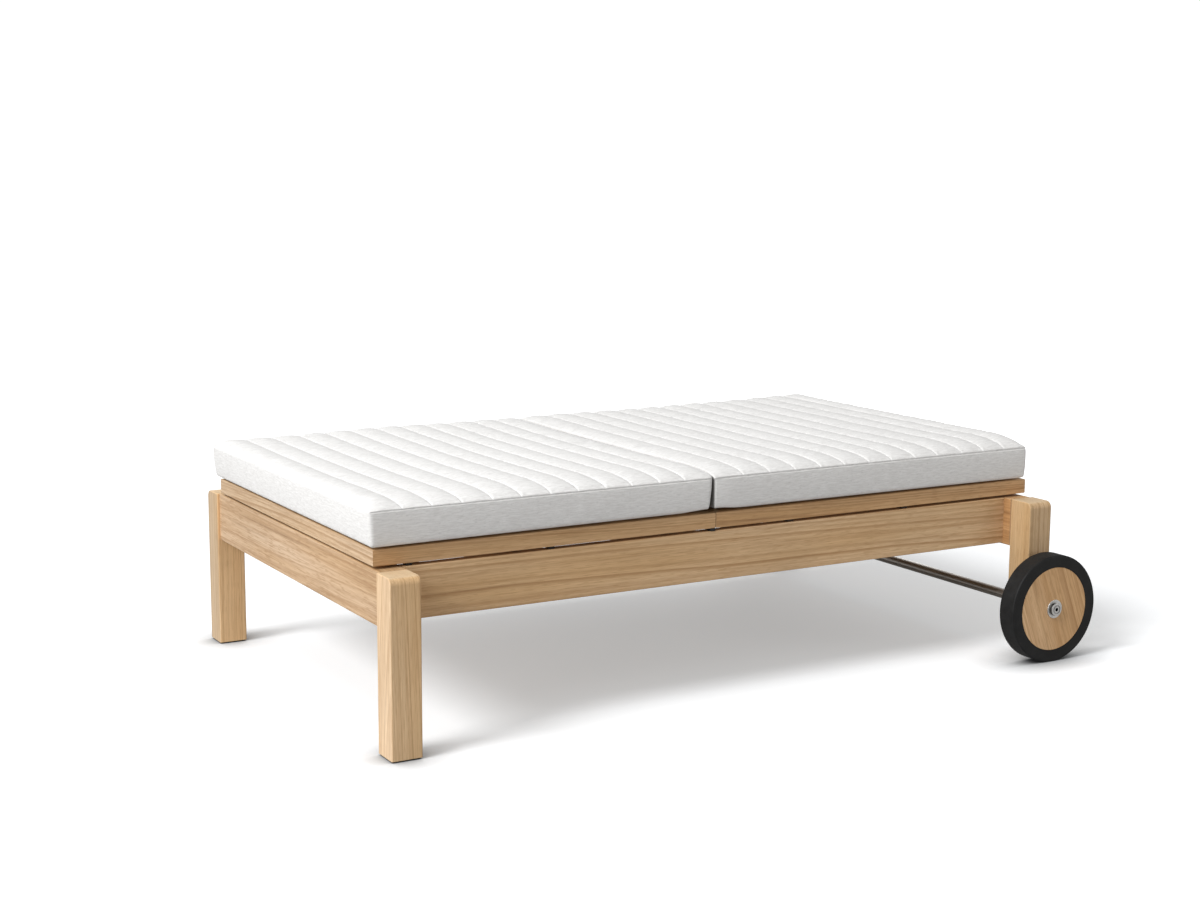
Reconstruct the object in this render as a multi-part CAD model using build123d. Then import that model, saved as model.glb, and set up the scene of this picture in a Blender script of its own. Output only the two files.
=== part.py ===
from build123d import *
import math
import os

# Double chaise lounger: a teak frame on four legs, two cushioned deck
# sections hinged across the middle, and two wooden wheels under the head
# end. Millimetres.
#
# Dimensions below are laid out from the foot legs' outer face (x), the
# right-hand legs' outer face (y) and the ground (z). Every piece is then
# moved so that the origin is on the ground under the middle of the whole
# object: +X towards the wheeled head end, +Y towards the lounger's left side
# (seen by a person who faces the head end), +Z up.

# ---- driving dimensions -----------------------------------------------------
FRAME_L = 2000.0          # over the legs, foot to head
FRAME_W = 1280.0          # over the legs, side to side
LEG = 78.0                # square legs
FRAME_TOP = 434.0         # top of legs, rails and aprons
LEG_EASE = 3.0            # eased edges of the legs
LEG_TOP_R = 18.0          # rounded top outer edge of each leg
HEAD_LEG_BOTTOM = 105.0   # the head legs stop short, the axle carries them
GLIDE_T = 4.0             # plastic glide under each foot leg

RAIL_T = 32.0             # long side rails
RAIL_Y = 105.0            # outer face of the side rail
RAIL_BOTTOM = 305.0
APRON_X0 = 8.0            # outer face of the end apron, from the leg's face
APRON_X1 = 80.0
APRON_BOTTOM = 302.0
TENON_L = 30.0

DECK_X0 = 4.0             # foot end of the seat deck
DECK_SPLIT = 950.0        # hinge line between the two decks
DECK_GAP = 2.0            # gap between the two decks at the hinge line
DECK_X1 = 1996.0
DECK_Z0 = 441.0
DECK_Z1 = 481.0
DECK_MEMBER = 60.0        # width of the mitred deck members
DECK_EASE = 2.5
SLAT_W = 60.0
SLAT_T = 18.0
SLAT_TOP = 486.5          # slats stand proud of the deck and carry the cushions
SLAT_Y = 140.0            # slat ends, in rebates of the stiles
SEAT_SLATS = 11
BACK_SLATS = 12

CUSHION_Z0 = SLAT_TOP
CUSHION_SEAM = 572.0      # top seam of the cushions
CUSHION_CROWN = 595.0
CUSHION_SIDE = 93.0       # y of the cushions' right-hand face
CUSHION_CORNER_R = 14.0
SEAT_CUSHION_X = (-5.0, 934.0)
BACK_CUSHION_X = (939.0, 1983.0)
BACK_MAX_DEG = 55.0       # steepest backrest
FOLD_HALF_DEG = BACK_MAX_DEG / 2 + 1.0

AXLE_Z = 150.0
AXLE_X = 1950.0          # a little footward of the leg's middle
AXLE_R = 14.0
AXLE_BORE_R = 11.5
WHEEL_R = 150.0
DISC_R = 116.5
WHEEL_T = 55.0
WHEEL_OUT = 80.0          # wheel's outer face, outside the leg's face
RUN_GAP = 0.3             # side play between wheel and its neighbours
BUSH_R = 18.0
BUSH_CLEARANCE = 0.06

HINGE_R = 4.0             # hinge knuckle
HINGE_PIN_R = 2.0
HINGE_LEN = 60.0
HINGE_Y = (300.0, 640.0, 980.0)
LEAF_W = 40.0
LEAF_T = 2.0

PROP_X = 1300.0           # prop pivot under the backrest, at rest
PROP_Z = 425.0
PROP_LEN = 598.0          # pivot to foot bar
PROP_BAR_R = 8.0
PROP_RATIO = 1.6          # prop angle per backrest angle
ARM_Y = (186.0, 1088.0)
ARM_T = 6.0
ARM_W = 24.0

# ---- derived ----------------------------------------------------------------
RAIL_Y1 = RAIL_Y + RAIL_T
FAR = FRAME_W
X_MIN = SEAT_CUSHION_X[0]
X_MAX = AXLE_X + WHEEL_R
ORIGIN = ((X_MIN + X_MAX) / 2, FRAME_W / 2, 0.0)

os.makedirs("parts", exist_ok=True)


# ---- helpers ----------------------------------------------------------------
def block(x0, x1, y0, y1, z0, z1):
    return Pos((x0 + x1) / 2, (y0 + y1) / 2, (z0 + z1) / 2) * Box(
        abs(x1 - x0), abs(y1 - y0), abs(z1 - z0))


def eased(b, axis, r):
    return fillet(b.edges().filter_by(axis), r)


def rod_y(x, z, y0, y1, r):
    return Pos(x, (y0 + y1) / 2, z) * Rot(90, 0, 0) * Cylinder(r, abs(y1 - y0))


def rod_z(x, y, z0, z1, r):
    return Pos(x, y, (z0 + z1) / 2) * Cylinder(r, abs(z1 - z0))


def mirror_y(shape):
    """Copy on the other side of the lounger's middle plane."""
    return mirror(shape, Plane.XZ.offset(-FRAME_W / 2))


def prism_xy(points, z0, z1):
    return Pos(0, 0, z0) * extrude(
        make_face(Polyline(*points, close=True)), amount=z1 - z0)


def prism_xz(points, y0, y1):
    face = make_face(Polyline(*[(x, 0, z) for x, z in points], close=True))
    solid = extrude(face, amount=y1 - y0, dir=(0, 1, 0))
    return Pos(0, y0, 0) * solid


def screw_down(x, y, z, length, r=2.0, head_r=4.0):
    """Countersunk wood screw, head flush with z, driven down."""
    head = Pos(x, y, z - 1.25) * Cone(r, head_r, 2.5)
    return head + rod_z(x, y, z - length, z - 2.0, r)


def screw_up(x, y, z, length, r=2.0, head_r=4.5):
    """Pan-head screw under a plate, head below z, driven up."""
    return rod_z(x, y, z, z + length, r) + rod_z(x, y, z - 2.2, z, head_r)


def screw_y(x, y, z, length, way, r=2.0, head_r=4.5):
    """Pan-head screw along y; way is +1 or -1, head on the other side of y."""
    return (rod_y(x, z, y, y + way * length, r)
            + rod_y(x, z, y - way * 2.2, y, head_r))


def screw_x(x, y, z, length, way, r=2.0, head_r=4.5):
    turn = Rot(0, 90, 0)
    return (Pos(x + way * length / 2, y, z) * turn * Cylinder(r, length)
            + Pos(x - way * 1.1, y, z) * turn * Cylinder(head_r, 2.2))


def solids_of(*shapes):
    out = []
    for s in shapes:
        out.extend(s.solids())
    return out


def save(name, *shapes):
    bits = solids_of(*shapes)
    whole = bits[0] if len(bits) == 1 else Compound(children=bits)
    whole = whole.moved(Location((-ORIGIN[0], -ORIGIN[1], -ORIGIN[2])))
    export_step(whole, "parts/" + name + ".step")


def cut_all(shape, tools):
    for t in tools:
        shape = shape - t
    return shape


# ---- legs -------------------------------------------------------------------
def leg(z0):
    """Right-hand foot leg; outer Y edge of the top is rounded over."""
    b = block(0, LEG, 0, LEG, z0, FRAME_TOP)
    top_outer = b.edges().filter_by(Axis.X).sort_by(
        lambda e: -e.center().Z + e.center().Y)[0]
    b = fillet(top_outer, LEG_TOP_R)
    sharp = [e for e in b.edges() if e.center().Z > z0 + 1
             and not (e.center().Y < LEG_TOP_R + 1
                      and abs(e.center().X - LEG / 2) < 1)]
    return fillet(sharp, LEG_EASE)


def foot_leg():
    b = leg(GLIDE_T)
    b = b - block(28, 56, LEG - TENON_L, LEG, 322, 414)
    return b - rod_z(LEG / 2, LEG / 2, GLIDE_T, GLIDE_T + 22, 4.0)


def head_leg():
    b = mirror(leg(HEAD_LEG_BOTTOM), Plane.YZ.offset(FRAME_L / 2))
    b = b - block(FRAME_L - 56, FRAME_L - 28, LEG - TENON_L, LEG, 322, 414)
    return b - rod_y(AXLE_X, AXLE_Z, -5, LEG + 5, AXLE_R)


LEG_FR = foot_leg()
LEG_HR = head_leg()
save("leg_foot_right", LEG_FR)
save("leg_foot_left", mirror_y(LEG_FR))
save("leg_head_right", LEG_HR)
save("leg_head_left", mirror_y(LEG_HR))

# glides: square plastic plates with a stem pressed up into the leg
GLIDE = eased(block(4, LEG - 4, 4, LEG - 4, 0, GLIDE_T), Axis.Z, 5)
GLIDE = GLIDE + rod_z(LEG / 2, LEG / 2, GLIDE_T, GLIDE_T + 22, 4.0)
save("foot_glides", GLIDE, mirror_y(GLIDE))

# ---- end aprons -------------------------------------------------------------
# screws of the inner corner brackets
BRACKET_Z = (340.0, 400.0)
CORNER_SCREWS = []
for z in (352.0, 388.0):
    CORNER_SCREWS.append(screw_x(APRON_X1 + 3, 158, z, 18, -1))
    CORNER_SCREWS.append(screw_y(APRON_X1 + 30, RAIL_Y1 + 3, z, 18, -1))


def mirror_x(shape):
    return mirror(shape, Plane.YZ.offset(FRAME_L / 2))


def apron():
    b = eased(block(APRON_X0, APRON_X1, LEG, FAR - LEG, APRON_BOTTOM,
                    FRAME_TOP), Axis.Y, LEG_EASE)
    tenon = block(28, 56, LEG - TENON_L, LEG, 322, 414)
    b = b + tenon + mirror_y(tenon)
    mortise = block(APRON_X1 - TENON_L, APRON_X1, RAIL_Y + 8, RAIL_Y + 24,
                    325, 414)
    b = b - mortise - mirror_y(mortise)
    for s in CORNER_SCREWS[::2]:
        b = b - s - mirror_y(s)
    return b


APRON = apron()
save("foot_apron", APRON)
save("head_apron", mirror_x(APRON))

# ---- side rails -------------------------------------------------------------
CROSS_X = ((455.0, 485.0), (903.0, 933.0))      # two cross rails
CROSS_Z = (330.0, 425.0)
CROSS_TENON = 14.0

RATCHET_X = (1668.0, 1872.0)
RATCHET_T = 22.0
RATCHET_SCREW_X = (1700.0, 1835.0)
RATCHET_SCREWS = [screw_y(x, RAIL_Y1 + RATCHET_T, 364, 40, -1, 2.5, 5.0)
                  for x in RATCHET_SCREW_X]

FIX_X = (120.0, 380.0, 820.0)                   # seat deck fixing brackets
FIX_W = 30.0
FIX_RAIL_SCREWS = [screw_y(x, RAIL_Y1 + 3, 415, 20, -1) for x in FIX_X]
FIX_DECK_SCREWS = [screw_up(x, 156, DECK_Z0 - 3, 20, 2.0, 4.0)
                   for x in FIX_X]


def side_rail():
    b = eased(block(APRON_X1, FRAME_L - APRON_X1, RAIL_Y, RAIL_Y1,
                    RAIL_BOTTOM, FRAME_TOP), Axis.X, LEG_EASE)
    b = b + block(APRON_X1 - TENON_L, APRON_X1, RAIL_Y + 8, RAIL_Y + 24,
                  325, 414)
    b = b + block(FRAME_L - APRON_X1, FRAME_L - APRON_X1 + TENON_L,
                  RAIL_Y + 8, RAIL_Y + 24, 325, 414)
    for x0, x1 in CROSS_X:
        b = b - block(x0 + 6, x1 - 6, RAIL_Y1 - CROSS_TENON, RAIL_Y1,
                      CROSS_Z[0] + 12, CROSS_Z[1] - 12)
    b = cut_all(b, CORNER_SCREWS[1::2])
    b = cut_all(b, [mirror_x(s) for s in CORNER_SCREWS[1::2]])
    b = cut_all(b, RATCHET_SCREWS)
    return cut_all(b, FIX_RAIL_SCREWS)


SIDE_RAIL = side_rail()
save("side_rail_right", SIDE_RAIL)
save("side_rail_left", mirror_y(SIDE_RAIL))


def cross_rail(x0, x1):
    b = eased(block(x0, x1, RAIL_Y1, FAR - RAIL_Y1, *CROSS_Z), Axis.Y, 2)
    tenon = block(x0 + 6, x1 - 6, RAIL_Y1 - CROSS_TENON, RAIL_Y1,
                  CROSS_Z[0] + 12, CROSS_Z[1] - 12)
    return b + tenon + mirror_y(tenon)


save("cross_rail_seat", cross_rail(*CROSS_X[0]))
save("cross_rail_fold", cross_rail(*CROSS_X[1]))

# ---- inner corner brackets --------------------------------------------------
CORNER = (block(APRON_X1, APRON_X1 + 3, RAIL_Y1, RAIL_Y1 + 42, *BRACKET_Z)
          + block(APRON_X1, APRON_X1 + 42, RAIL_Y1, RAIL_Y1 + 3, *BRACKET_Z))
CORNER = cut_all(CORNER, CORNER_SCREWS)
save("corner_brackets", CORNER, mirror_y(CORNER), mirror_x(CORNER),
     mirror_x(mirror_y(CORNER)))
ALL_CORNER_SCREWS = []
for s in CORNER_SCREWS:
    ALL_CORNER_SCREWS += [s, mirror_y(s), mirror_x(s), mirror_x(mirror_y(s))]
save("corner_bracket_screws", *ALL_CORNER_SCREWS)

# ---- seat deck (fixed) ------------------------------------------------------
FIX = (block(-FIX_W / 2, FIX_W / 2, RAIL_Y1, RAIL_Y1 + 3, 403, DECK_Z0)
       + block(-FIX_W / 2, FIX_W / 2, RAIL_Y1, 165, DECK_Z0 - 3, DECK_Z0))
FIXES = []
for i, x in enumerate(FIX_X):
    f = Pos(x, 0, 0) * FIX - FIX_RAIL_SCREWS[i] - FIX_DECK_SCREWS[i]
    FIXES += [f, mirror_y(f)]
save("deck_fixing_brackets", *FIXES)
FIX_SCREWS = []
for s in FIX_RAIL_SCREWS + FIX_DECK_SCREWS:
    FIX_SCREWS += [s, mirror_y(s)]
save("deck_fixing_screws", *FIX_SCREWS)


def slat_positions(x0, x1, count):
    gap = (x1 - x0 - count * SLAT_W) / (count + 1)
    return [x0 + gap + i * (SLAT_W + gap) for i in range(count)]


SEAT_IN = (DECK_X0 + DECK_MEMBER, DECK_SPLIT - DECK_GAP / 2 - DECK_MEMBER)
BACK_IN = (DECK_SPLIT + DECK_GAP / 2 + DECK_MEMBER, DECK_X1 - DECK_MEMBER)
DECK_Y = (RAIL_Y, FAR - RAIL_Y)
SEAT_X = (DECK_X0, DECK_SPLIT - DECK_GAP / 2)
BACK_X = (DECK_SPLIT + DECK_GAP / 2, DECK_X1)


def slats(x0, x1, count):
    out, screws = [], []
    for x in slat_positions(x0, x1, count):
        s = eased(block(x, x + SLAT_W, SLAT_Y, FAR - SLAT_Y,
                        SLAT_TOP - SLAT_T, SLAT_TOP), Axis.Y, 2)
        for y in (152.5, FAR - 152.5):
            c = screw_down(x + SLAT_W / 2, y, SLAT_TOP, 36)
            s = s - c
            screws.append(c)
        out.append(s)
    return out, screws


def deck_stile(x0, x1, screws):
    """Right-hand stile with mitred ends and a rebate for the slat ends."""
    b = eased(block(x0, x1, RAIL_Y, RAIL_Y + DECK_MEMBER, DECK_Z0, DECK_Z1),
              Axis.X, DECK_EASE)
    keep = prism_xy([(x0, RAIL_Y), (x1, RAIL_Y),
                     (x1 - DECK_MEMBER, RAIL_Y + DECK_MEMBER),
                     (x0 + DECK_MEMBER, RAIL_Y + DECK_MEMBER)],
                    DECK_Z0 - 1, DECK_Z1 + 1)
    b = b & keep
    b = b - block(x0 + DECK_MEMBER, x1 - DECK_MEMBER, SLAT_Y,
                  RAIL_Y + DECK_MEMBER + 1, SLAT_TOP - SLAT_T, DECK_Z1 + 1)
    return cut_all(b, [s for s in screws if s.center().Y < FAR / 2])


def deck_end(x0, x1, inner_low):
    """Mitred end member between the stiles; inner_low: inner face is at x0."""
    b = eased(block(x0, x1, RAIL_Y, FAR - RAIL_Y, DECK_Z0, DECK_Z1),
              Axis.Y, DECK_EASE)
    m = DECK_MEMBER
    if inner_low:
        pts = [(x1, RAIL_Y), (x1, FAR - RAIL_Y), (x0, FAR - RAIL_Y - m),
               (x0, RAIL_Y + m)]
    else:
        pts = [(x0, RAIL_Y), (x1, RAIL_Y + m), (x1, FAR - RAIL_Y - m),
               (x0, FAR - RAIL_Y)]
    return b & prism_xy(pts, DECK_Z0 - 1, DECK_Z1 + 1)


# hinge leaves, pins and screws
def leaf_screws(side):
    out = []
    for y in HINGE_Y:
        for dy in (-18.0, 18.0):
            out.append(screw_down(DECK_SPLIT + side * 25, y + dy, DECK_Z1, 26,
                                  1.75, 3.5))
    return out


SEAT_LEAF_SCREWS = leaf_screws(-1)
BACK_LEAF_SCREWS = leaf_screws(1)


def seat_leaf(y):
    h = HINGE_LEN / 2
    plate = block(DECK_SPLIT - LEAF_W, DECK_SPLIT, y - h, y + h,
                  DECK_Z1 - LEAF_T, DECK_Z1)
    plate = plate - block(DECK_SPLIT - 4.6, DECK_SPLIT + 1, y - 10.3, y + 10.3,
                          DECK_Z1 - 5, DECK_Z1 + 5)
    for a, b in ((-h, -10.3), (10.3, h)):
        plate = plate + rod_y(DECK_SPLIT, DECK_Z1, y + a, y + b, HINGE_R)
    return plate - rod_y(DECK_SPLIT, DECK_Z1, y - h - 1, y + h + 1,
                         HINGE_PIN_R)


def back_leaf(y):
    h = HINGE_LEN / 2
    plate = block(DECK_SPLIT, DECK_SPLIT + LEAF_W, y - h, y + h,
                  DECK_Z1 - LEAF_T, DECK_Z1)
    for a, b in ((-h - 1, -10.0), (10.0, h + 1)):
        plate = plate - block(DECK_SPLIT - 1, DECK_SPLIT + 4.6, y + a, y + b,
                              DECK_Z1 - 5, DECK_Z1 + 5)
    plate = plate + rod_y(DECK_SPLIT, DECK_Z1, y - 10.0, y + 10.0, HINGE_R)
    return plate - rod_y(DECK_SPLIT, DECK_Z1, y - 11, y + 11,
                         HINGE_PIN_R + 0.05)


def hinge_recess(side):
    """Seat for a leaf and its knuckle in the deck member beside the split."""
    out = []
    h = HINGE_LEN / 2
    for y in HINGE_Y:
        a, b = sorted((DECK_SPLIT, DECK_SPLIT + side * LEAF_W))
        c, d = sorted((DECK_SPLIT, DECK_SPLIT + side * 4.6))
        out.append(block(a, b, y - h, y + h, DECK_Z1 - LEAF_T, DECK_Z1 + 1))
        out.append(block(c, d, y - h - 0.5, y + h + 0.5, DECK_Z1 - 4.6,
                         DECK_Z1 + 1))
    return out


SEAT_SLAT_SOLIDS, SEAT_SLAT_SCREWS = slats(*SEAT_IN, SEAT_SLATS)
SEAT_STILE = deck_stile(*SEAT_X, SEAT_SLAT_SCREWS)
SEAT_STILE = cut_all(SEAT_STILE, FIX_DECK_SCREWS)
save("seat_stile_right", SEAT_STILE)
save("seat_stile_left", mirror_y(SEAT_STILE))
save("seat_foot_rail", deck_end(DECK_X0, DECK_X0 + DECK_MEMBER, False))
SEAT_FOLD = deck_end(SEAT_X[1] - DECK_MEMBER, SEAT_X[1], True)
SEAT_FOLD = cut_all(SEAT_FOLD, hinge_recess(-1) + SEAT_LEAF_SCREWS)
save("seat_fold_rail", SEAT_FOLD)
save("seat_centre_bearer", eased(block(*SEAT_IN, 620, 660, DECK_Z0,
                                       SLAT_TOP - SLAT_T), Axis.X, 1.5))
save("seat_slats", *SEAT_SLAT_SOLIDS)
save("seat_slat_screws", *SEAT_SLAT_SCREWS)
save("seat_hinge_leaves", *[cut_all(seat_leaf(y), SEAT_LEAF_SCREWS)
                            for y in HINGE_Y])
save("seat_hinge_screws", *SEAT_LEAF_SCREWS)
save("hinge_pins", *[rod_y(DECK_SPLIT, DECK_Z1, y - HINGE_LEN / 2,
                           y + HINGE_LEN / 2, HINGE_PIN_R) for y in HINGE_Y])

# rubber pads: the seat deck stands on them, the backrest comes down on them
PADS = []
for x0, inset in ((SEAT_X[1] - 15, 0.0), (470.0, 7.0), (90.0, 7.0)):
    p = block(x0, x0 + 15, RAIL_Y + inset, RAIL_Y + 26, FRAME_TOP, DECK_Z0)
    PADS += [p, mirror_y(p)]
for y0 in (400.0, 855.0):
    PADS.append(block(30, 50, y0, y0 + 25, FRAME_TOP, DECK_Z0))
save("seat_deck_pads", *PADS)
REST_PADS = []
for x0 in (1180.0, 1560.0):
    p = block(x0, x0 + 20, RAIL_Y + 9, RAIL_Y + 29, FRAME_TOP, DECK_Z0 - 0.3)
    REST_PADS += [p, mirror_y(p)]
for y0 in (250.0, 1005.0):
    REST_PADS.append(block(1946, 1966, y0, y0 + 25, FRAME_TOP, DECK_Z0 - 0.3))
save("backrest_rest_pads", *REST_PADS)

# ---- backrest deck (tilts) --------------------------------------------------
BACK_SLAT_SOLIDS, BACK_SLAT_SCREWS = slats(*BACK_IN, BACK_SLATS)
BACK_STILE = deck_stile(*BACK_X, BACK_SLAT_SCREWS)
save("back_stile_right", BACK_STILE)
save("back_stile_left", mirror_y(BACK_STILE))
BACK_FOLD = deck_end(BACK_X[0], BACK_X[0] + DECK_MEMBER, False)
BACK_FOLD = cut_all(BACK_FOLD, hinge_recess(1) + BACK_LEAF_SCREWS)
save("back_fold_rail", BACK_FOLD)
save("back_head_rail", deck_end(BACK_X[1] - DECK_MEMBER, BACK_X[1], True))
save("back_slats", *BACK_SLAT_SOLIDS)
save("back_slat_screws", *BACK_SLAT_SCREWS)
save("back_hinge_leaves", *[cut_all(back_leaf(y), BACK_LEAF_SCREWS)
                            for y in HINGE_Y])
save("back_hinge_screws", *BACK_LEAF_SCREWS)

PROP_RAIL_X = (PROP_X - 30, PROP_X + 30)
INNER_Y = (RAIL_Y + DECK_MEMBER, FAR - RAIL_Y - DECK_MEMBER)

# bracket of the prop: a foot under the prop rail and an ear with the bore
EAR_Y = (198.0, 203.0)
EAR = (block(PROP_X - 20, PROP_X + 20, *EAR_Y, PROP_Z, DECK_Z0)
       + rod_y(PROP_X, PROP_Z, *EAR_Y, 15.0)
       + block(PROP_X - 20, PROP_X + 20, EAR_Y[1], EAR_Y[1] + 32, DECK_Z0 - 3,
               DECK_Z0))
EAR = EAR - block(PROP_X - 30, PROP_X + 30, EAR_Y[0] - 1, EAR_Y[1] + 40,
                  DECK_Z0, DECK_Z0 + 10)
EAR = EAR - rod_y(PROP_X, PROP_Z, EAR_Y[0] - 1, EAR_Y[1] + 1,
                  PROP_BAR_R + BUSH_CLEARANCE)
EAR_SCREWS = [screw_up(PROP_X + dx, EAR_Y[1] + 20, DECK_Z0 - 3, 22, 2.0, 4.0)
              for dx in (-12.0, 12.0)]
EAR = cut_all(EAR, EAR_SCREWS)
save("prop_brackets", EAR, mirror_y(EAR))
ALL_EAR_SCREWS = EAR_SCREWS + [mirror_y(s) for s in EAR_SCREWS]
save("prop_bracket_screws", *ALL_EAR_SCREWS)

PROP_RAIL = eased(block(*PROP_RAIL_X, *INNER_Y, DECK_Z0, SLAT_TOP - SLAT_T),
                  Axis.Y, 2)
PROP_RAIL = cut_all(PROP_RAIL, ALL_EAR_SCREWS)
save("back_prop_rail", PROP_RAIL)
save("back_centre_bearers",
     eased(block(BACK_IN[0], PROP_RAIL_X[0], 620, 660, DECK_Z0,
                 SLAT_TOP - SLAT_T), Axis.X, 1.5),
     eased(block(PROP_RAIL_X[1], BACK_IN[1], 620, 660, DECK_Z0,
                 SLAT_TOP - SLAT_T), Axis.X, 1.5))

# ---- prop -------------------------------------------------------------------
FOOT_X = PROP_X + PROP_LEN


def arm(y0):
    b = block(PROP_X, FOOT_X, y0, y0 + ARM_T, PROP_Z - ARM_W / 2,
              PROP_Z + ARM_W / 2)
    b = b + rod_y(PROP_X, PROP_Z, y0, y0 + ARM_T, ARM_W / 2)
    b = b + rod_y(FOOT_X, PROP_Z, y0, y0 + ARM_T, ARM_W / 2)
    b = b - rod_y(PROP_X, PROP_Z, y0 - 1, y0 + ARM_T + 1, PROP_BAR_R)
    return b - rod_y(FOOT_X, PROP_Z, y0 - 1, y0 + ARM_T + 1, PROP_BAR_R)


save("prop_arms", arm(ARM_Y[0]), arm(ARM_Y[1]))
save("prop_pivot_bar", rod_y(PROP_X, PROP_Z, 180, FAR - 180, PROP_BAR_R))
save("prop_foot_bar", rod_y(FOOT_X, PROP_Z, 140.5, FAR - 140.5, PROP_BAR_R))


# ---- ratchets ---------------------------------------------------------------
def foot_bar_at(deg):
    """Centre of the foot bar with the backrest raised by deg."""
    t = math.radians(deg)
    px, pz = PROP_X - DECK_SPLIT, PROP_Z - DECK_Z1
    cx = DECK_SPLIT + px * math.cos(t) - pz * math.sin(t)
    cz = DECK_Z1 + px * math.sin(t) + pz * math.cos(t)
    a = t * (1 - PROP_RATIO)
    return cx + PROP_LEN * math.cos(a), cz + PROP_LEN * math.sin(a)


STEPS = (30.0, 37.0, 43.5, 49.5, BACK_MAX_DEG)   # backrest positions
CREST_GAP = 0.8
NOTCH_D = 9.0


def crest_z(x):
    """Height of the teeth's crests at x, just under the bar's path."""
    best = None
    for i in range(0, 1101):
        bx, bz = foot_bar_at(BACK_MAX_DEG * i / 1100)
        if bx < 1896 and (best is None or abs(bx - x) < best[0]):
            best = (abs(bx - x), bz)
    return best[1] - PROP_BAR_R - CREST_GAP


def ratchet():
    spots = sorted(foot_bar_at(d)[0] for d in STEPS)
    lo, hi = RATCHET_X
    pts = [(lo, 340.0), (hi, 340.0)]
    # from the head end towards the foot end
    pts.append((hi, crest_z(hi) - 1.0))
    for k, x in enumerate(reversed(spots)):
        c = crest_z(x + PROP_BAR_R + 1.0)
        pts.append((x + PROP_BAR_R + 1.0, c))
        pts.append((x + PROP_BAR_R + 1.0, c - NOTCH_D))
        pts.append((x - 4.0, c - NOTCH_D))
    # stop wall behind the last notch
    last = spots[0]
    bz = foot_bar_at(BACK_MAX_DEG)[1]
    wall = last - PROP_BAR_R - 0.6
    pts.append((wall, crest_z(last) - NOTCH_D + 4.0))
    pts.append((wall, bz + 4.0))
    pts.append((lo, bz + 4.0))
    return prism_xz(pts, RAIL_Y1, RAIL_Y1 + RATCHET_T)


RATCHET = cut_all(ratchet(), RATCHET_SCREWS)
save("ratchet_right", RATCHET)
save("ratchet_left", mirror_y(RATCHET))
save("ratchet_screws", *RATCHET_SCREWS, *[mirror_y(s) for s in RATCHET_SCREWS])

# ---- axle and wheels --------------------------------------------------------
AXLE_END = -(WHEEL_OUT + RUN_GAP)
PLUG_L = 42.0
BOLT_R = 5.0
WHEEL_IN = -(WHEEL_OUT - WHEEL_T)

save("axle_tube", rod_y(AXLE_X, AXLE_Z, AXLE_END, FAR - AXLE_END, AXLE_R)
     - rod_y(AXLE_X, AXLE_Z, AXLE_END - 1, FAR - AXLE_END + 1, AXLE_BORE_R))
PLUG = (rod_y(AXLE_X, AXLE_Z, AXLE_END, AXLE_END + PLUG_L, AXLE_BORE_R)
        - rod_y(AXLE_X, AXLE_Z, AXLE_END - 1, AXLE_END + 36, BOLT_R))
save("axle_end_plugs", PLUG, mirror_y(PLUG))
SPACER = (rod_y(AXLE_X, AXLE_Z, WHEEL_IN + RUN_GAP, 0, 20.0)
          - rod_y(AXLE_X, AXLE_Z, WHEEL_IN - 5, 5, AXLE_R))
save("axle_spacers", SPACER, mirror_y(SPACER))
WASHER = rod_y(AXLE_X, AXLE_Z, AXLE_END - 2.5, AXLE_END, 26.0)
WASHER = fillet(WASHER.edges().filter_by(GeomType.CIRCLE).sort_by(Axis.Y)[0],
                0.8)
WASHER = WASHER - rod_y(AXLE_X, AXLE_Z, AXLE_END - 5, AXLE_END + 1, BOLT_R)
save("axle_washers", WASHER, mirror_y(WASHER))
HEAD_Y = AXLE_END - 2.5
# cap: straight side, eased rim, a shallow turned groove and a hexagon socket
BOLT = rod_y(AXLE_X, AXLE_Z, HEAD_Y - 7.5, HEAD_Y, 18.0)
BOLT = fillet(BOLT.edges().filter_by(GeomType.CIRCLE).sort_by(Axis.Y)[0], 1.6)
BOLT = BOLT - (rod_y(AXLE_X, AXLE_Z, HEAD_Y - 8.5, HEAD_Y - 6.5, 12.5)
               - rod_y(AXLE_X, AXLE_Z, HEAD_Y - 9.5, HEAD_Y - 5.5, 9.0))
SOCKET = Pos(AXLE_X, HEAD_Y - 7.5 + 3.0, AXLE_Z) * Rot(90, 0, 0) * extrude(
    RegularPolygon(5.0, 6), amount=3.6, both=True)
BOLT = BOLT - SOCKET
BOLT = BOLT + rod_y(AXLE_X, AXLE_Z, HEAD_Y, AXLE_END + 35, BOLT_R)
save("axle_cap_bolts", BOLT, mirror_y(BOLT))

DISC = rod_y(AXLE_X, AXLE_Z, -WHEEL_OUT, WHEEL_IN, DISC_R)
DISC = chamfer(DISC.edges().filter_by(GeomType.CIRCLE), 1.2)
DISC = DISC - rod_y(AXLE_X, AXLE_Z, -WHEEL_OUT - 1, WHEEL_IN + 1, BUSH_R)
TYRE = rod_y(AXLE_X, AXLE_Z, -WHEEL_OUT, WHEEL_IN, WHEEL_R)
TYRE = fillet(TYRE.edges().filter_by(GeomType.CIRCLE), 4.0)
TYRE = TYRE - rod_y(AXLE_X, AXLE_Z, -WHEEL_OUT - 1, WHEEL_IN + 1, DISC_R)
BUSH = (rod_y(AXLE_X, AXLE_Z, -WHEEL_OUT, WHEEL_IN, BUSH_R)
        - rod_y(AXLE_X, AXLE_Z, -WHEEL_OUT - 1, WHEEL_IN + 1,
                AXLE_R + BUSH_CLEARANCE))
save("wheel_disc_right", DISC)
save("wheel_disc_left", mirror_y(DISC))
save("tyre_right", TYRE)
save("tyre_left", mirror_y(TYRE))
save("wheel_bush_right", BUSH)
save("wheel_bush_left", mirror_y(BUSH))


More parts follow.
